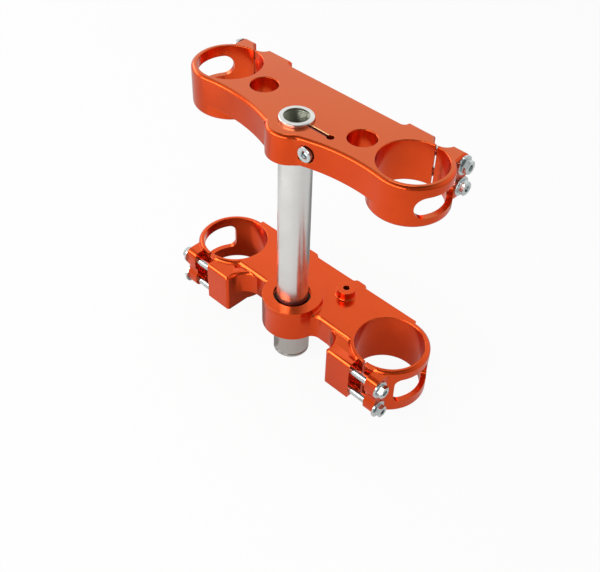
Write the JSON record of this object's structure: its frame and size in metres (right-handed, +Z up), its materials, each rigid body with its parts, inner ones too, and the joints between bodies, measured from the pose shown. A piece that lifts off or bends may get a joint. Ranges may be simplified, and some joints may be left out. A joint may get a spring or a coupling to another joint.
{
  "type": "motorcycle triple clamp",
  "caption": "Orange upper and lower fork clamp on an aluminium steering stem, with split rings closed by pinch bolts, for a motocross front end.",
  "frame": {"origin": "on the stem axis at the bearing seat of the lower clamp", "axes": "+Z up the stem, +X along the line of the fork legs, +Y towards the front of the bike"},
  "size_m": [0.2616, 0.0895, 0.2507],
  "materials": {
    "upper_clamp_anodised": "bright orange anodised, machined",
    "lower_clamp_anodised": "bright orange anodised, machined",
    "stem_aluminium": "fine turned",
    "bolt_zinc": "zinc plated",
    "washer_zinc": "zinc plated"
  },
  "bodies": {
    "root": {"upper_clamp": "upper_clamp_anodised", "lower_clamp": "lower_clamp_anodised", "steering_stem": "stem_aluminium", "stem_pinch_bolt": "bolt_zinc", "upper_bolt_left_top": "bolt_zinc", "upper_bolt_left_bottom": "bolt_zinc", "upper_bolt_right_top": "bolt_zinc", "upper_bolt_right_bottom": "bolt_zinc", "lower_bolt_left_top": "bolt_zinc", "lower_bolt_left_bottom": "bolt_zinc", "lower_bolt_right_top": "bolt_zinc", "lower_bolt_right_bottom": "bolt_zinc", "upper_washer_left_top": "washer_zinc", "upper_washer_left_bottom": "washer_zinc", "upper_washer_right_top": "washer_zinc", "upper_washer_right_bottom": "washer_zinc", "lower_washer_left_top": "washer_zinc", "lower_washer_left_bottom": "washer_zinc", "lower_washer_right_top": "washer_zinc", "lower_washer_right_bottom": "washer_zinc"}
  },
  "joints": []
}
